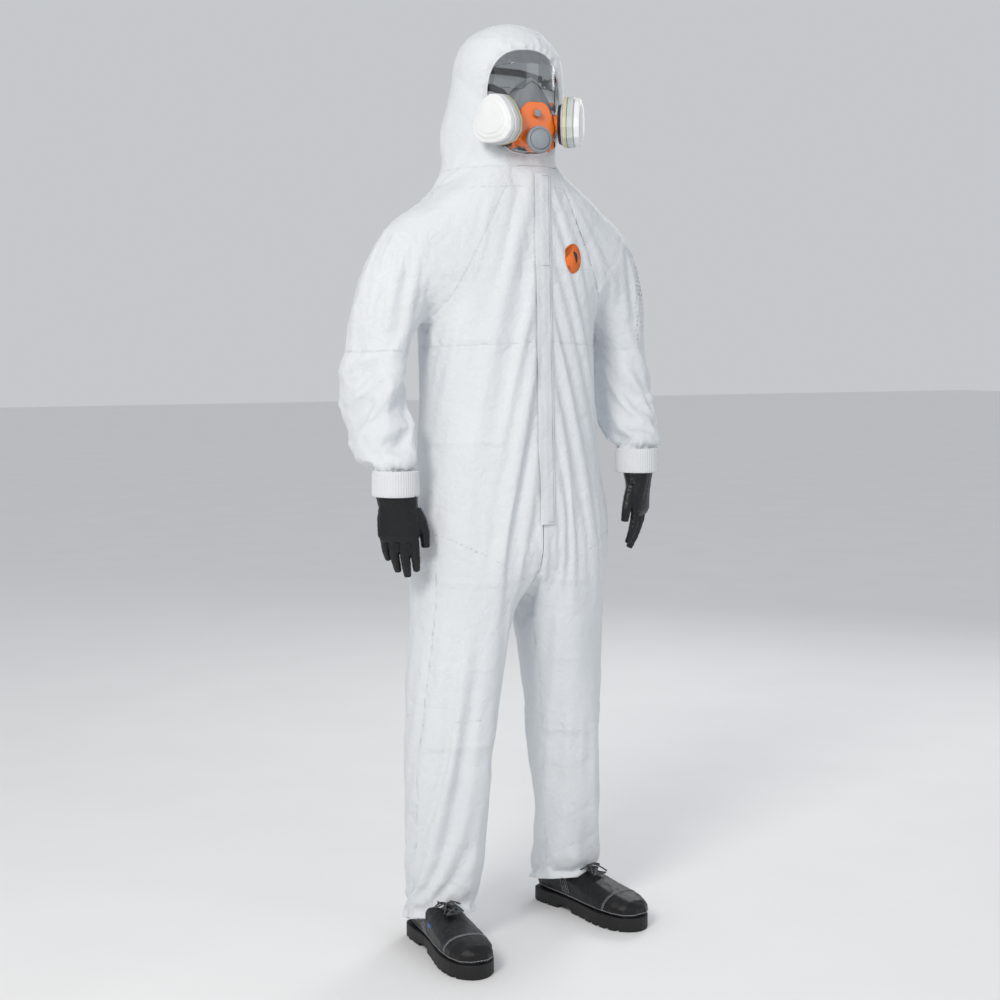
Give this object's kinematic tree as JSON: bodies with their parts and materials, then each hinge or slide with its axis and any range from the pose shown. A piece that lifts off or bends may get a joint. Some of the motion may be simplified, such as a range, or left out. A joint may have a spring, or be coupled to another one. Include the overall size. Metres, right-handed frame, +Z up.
{
  "type": "chemical protective suit",
  "caption": "White hooded coverall worn as a set with a twin-filter half mask, clear spectacles, black gloves and black lace-up safety shoes, standing as an empty form",
  "frame": {"origin": "middle of the overall box on the floor", "axes": "+Z up, the suit faces -Y, the wearer's right is -X"},
  "size_m": [0.7502, 0.4092, 1.895],
  "materials": {
    "nonwoven": "spun-bonded white film laminate, matt",
    "knit": "white ribbed or woven elastic",
    "zip_plastic": "moulded white nylon",
    "badge_print": "plain orange printed patch",
    "nitrile": "black nitrile film",
    "soft_rubber": "matt grey elastomer",
    "orange_plastic": "glossy orange moulding",
    "grey_plastic": "satin grey moulding",
    "black_plastic": "satin black moulding",
    "white_plastic": "satin off-white moulding",
    "webbing": "dark grey woven elastic",
    "silicone": "translucent silicone",
    "clear_plastic": "clear polycarbonate",
    "leather": "black grained leather",
    "sole_rubber": "black moulded polyurethane",
    "lace_cord": "dark grey braided cord"
  },
  "bodies": {
    "torso": {"chest_panel_right": "nonwoven", "chest_panel_left": "nonwoven", "back_panel": "nonwoven", "lower_panel_right": "nonwoven", "lower_panel_left": "nonwoven", "neck_fold": "nonwoven", "shoulder_fold_right": "nonwoven", "shoulder_fold_left": "nonwoven", "hip_fold_right": "nonwoven", "hip_fold_left": "nonwoven", "zip_tape_right": "knit", "zip_tape_left": "knit", "zip_teeth_right": "zip_plastic", "zip_teeth_left": "zip_plastic", "chest_badge": "badge_print", "waist_elastic": "knit"},
    "head": {"hood_right": "nonwoven", "hood_centre": "nonwoven", "hood_left": "nonwoven", "face_elastic": "knit", "mask_facepiece": "soft_rubber", "mask_front_frame": "orange_plastic", "exhale_valve_cover": "grey_plastic", "mask_head_strap": "webbing", "mask_neck_strap": "webbing", "spectacle_lens": "clear_plastic"},
    "flap": {"storm_flap": "nonwoven"},
    "slider": {"zip_slider": "zip_plastic"},
    "pull": {"zip_pull": "zip_plastic"},
    "exhale_disc": {"exhale_valve_disc": "silicone"},
    "upper_arm_right": {"sleeve_upper_right": "nonwoven", "elbow_fold_right": "nonwoven"},
    "forearm_right": {"sleeve_lower_right": "nonwoven", "knit_cuff_right": "knit", "glove_right": "nitrile"},
    "thigh_right": {"leg_upper_right": "nonwoven", "knee_fold_right": "nonwoven"},
    "shin_right": {"leg_lower_right": "nonwoven"},
    "foot_right": {"shoe_upper_right": "leather", "shoe_sole_right": "sole_rubber", "shoe_laces_right": "lace_cord"},
    "filter_right": {"cartridge_right": "black_plastic", "filter_cap_right": "white_plastic"},
    "inhale_disc_right": {"inhale_valve_disc_right": "silicone"},
    "temple_right": {"spectacle_temple_right": "orange_plastic"},
    "upper_arm_left": {"sleeve_upper_left": "nonwoven", "elbow_fold_left": "nonwoven"},
    "forearm_left": {"sleeve_lower_left": "nonwoven", "knit_cuff_left": "knit", "glove_left": "nitrile"},
    "thigh_left": {"leg_upper_left": "nonwoven", "knee_fold_left": "nonwoven"},
    "shin_left": {"leg_lower_left": "nonwoven"},
    "foot_left": {"shoe_upper_left": "leather", "shoe_sole_left": "sole_rubber", "shoe_laces_left": "lace_cord"},
    "filter_left": {"cartridge_left": "black_plastic", "filter_cap_left": "white_plastic"},
    "inhale_disc_left": {"inhale_valve_disc_left": "silicone"},
    "temple_left": {"spectacle_temple_left": "orange_plastic"}
  },
  "joints": [
    {"name": "head_turn", "type": "hinge", "parent": "torso", "child": "head", "pos_m": [0, 0.05665, 1.6], "axis": [0, 0, 1], "range_deg": [-40, 50], "deforming": ["neck_fold"]},
    {"name": "flap_open", "type": "hinge", "parent": "torso", "child": "flap", "pos_m": [0.026, -0.07942, 1.231], "axis": [0, 0.0377, 0.9993], "range_deg": [0, 95]},
    {"name": "slider_slide", "type": "slide", "parent": "torso", "child": "slider", "axis": [0, -0.0377, -0.9993], "range_m": [0, 0.66]},
    {"name": "pull_swivel", "type": "hinge", "parent": "slider", "child": "pull", "pos_m": [0.008, -0.06736, 1.567], "axis": [0, -0.9993, 0.0377], "range_deg": [-20, 20]},
    {"name": "exhale_lift", "type": "slide", "parent": "head", "child": "exhale_disc", "axis": [-0.1392, -0.9903, 0], "range_m": [0, 0.002], "stiffness_N_per_m": 20},
    {"name": "shoulder_right", "type": "hinge", "parent": "torso", "child": "upper_arm_right", "pos_m": [-0.204, 0.06065, 1.44], "axis": [-1, 0, 0], "range_deg": [-15, 60], "deforming": ["shoulder_fold_right"]},
    {"name": "elbow_right", "type": "hinge", "parent": "upper_arm_right", "child": "forearm_right", "pos_m": [-0.298, 0.09265, 1.195], "axis": [-1, 0, 0], "range_deg": [0, 45], "deforming": ["elbow_fold_right"]},
    {"name": "hip_right", "type": "hinge", "parent": "torso", "child": "thigh_right", "pos_m": [-0.112, 0.05665, 0.8], "axis": [-1, 0, 0], "range_deg": [-15, 45], "deforming": ["hip_fold_right"]},
    {"name": "knee_right", "type": "hinge", "parent": "thigh_right", "child": "shin_right", "pos_m": [-0.168, 0.04265, 0.415], "axis": [1, 0, 0], "range_deg": [0, 70], "deforming": ["knee_fold_right"]},
    {"name": "ankle_right", "type": "hinge", "parent": "shin_right", "child": "foot_right", "pos_m": [-0.184, 0.04465, 0.098], "axis": [1, 0, 0], "range_deg": [0, 12]},
    {"name": "filter_twist_right", "type": "hinge", "parent": "head", "child": "filter_right", "pos_m": [-0.07466, -0.07221, 1.682], "axis": [-0.9397, -0.342, 0], "range_deg": [0, 40]},
    {"name": "inhale_lift_right", "type": "slide", "parent": "head", "child": "inhale_disc_right", "axis": [0.9397, 0.342, 0], "range_m": [0, 0.002], "stiffness_N_per_m": 20},
    {"name": "temple_fold_right", "type": "hinge", "parent": "head", "child": "temple_right", "pos_m": [-0.08089, -0.00873, 1.779], "axis": [0, 0, -1], "range_deg": [0, 55]},
    {"name": "shoulder_left", "type": "hinge", "parent": "torso", "child": "upper_arm_left", "pos_m": [0.204, 0.06065, 1.44], "axis": [-1, 0, 0], "range_deg": [-15, 60], "deforming": ["shoulder_fold_left"]},
    {"name": "elbow_left", "type": "hinge", "parent": "upper_arm_left", "child": "forearm_left", "pos_m": [0.298, 0.09265, 1.2062], "axis": [-1, 0, 0], "range_deg": [0, 45], "deforming": ["elbow_fold_left"]},
    {"name": "hip_left", "type": "hinge", "parent": "torso", "child": "thigh_left", "pos_m": [0.112, 0.05665, 0.8], "axis": [-1, 0, 0], "range_deg": [-15, 45], "deforming": ["hip_fold_left"]},
    {"name": "knee_left", "type": "hinge", "parent": "thigh_left", "child": "shin_left", "pos_m": [0.15, 0.08665, 0.4], "axis": [1, 0, 0], "range_deg": [0, 70], "deforming": ["knee_fold_left"]},
    {"name": "ankle_left", "type": "hinge", "parent": "shin_left", "child": "foot_left", "pos_m": [0.166, 0.12165, 0.098], "axis": [1, 0, 0], "range_deg": [0, 12]},
    {"name": "filter_twist_left", "type": "hinge", "parent": "head", "child": "filter_left", "pos_m": [0.03625, -0.0878, 1.682], "axis": [0.809, -0.5878, 0], "range_deg": [0, 40]},
    {"name": "inhale_lift_left", "type": "slide", "parent": "head", "child": "inhale_disc_left", "axis": [-0.809, 0.5878, 0], "range_m": [0, 0.002], "stiffness_N_per_m": 20},
    {"name": "temple_fold_left", "type": "hinge", "parent": "head", "child": "temple_left", "pos_m": [0.05973, -0.02849, 1.779], "axis": [0, 0, 1], "range_deg": [0, 55]}
  ]
}
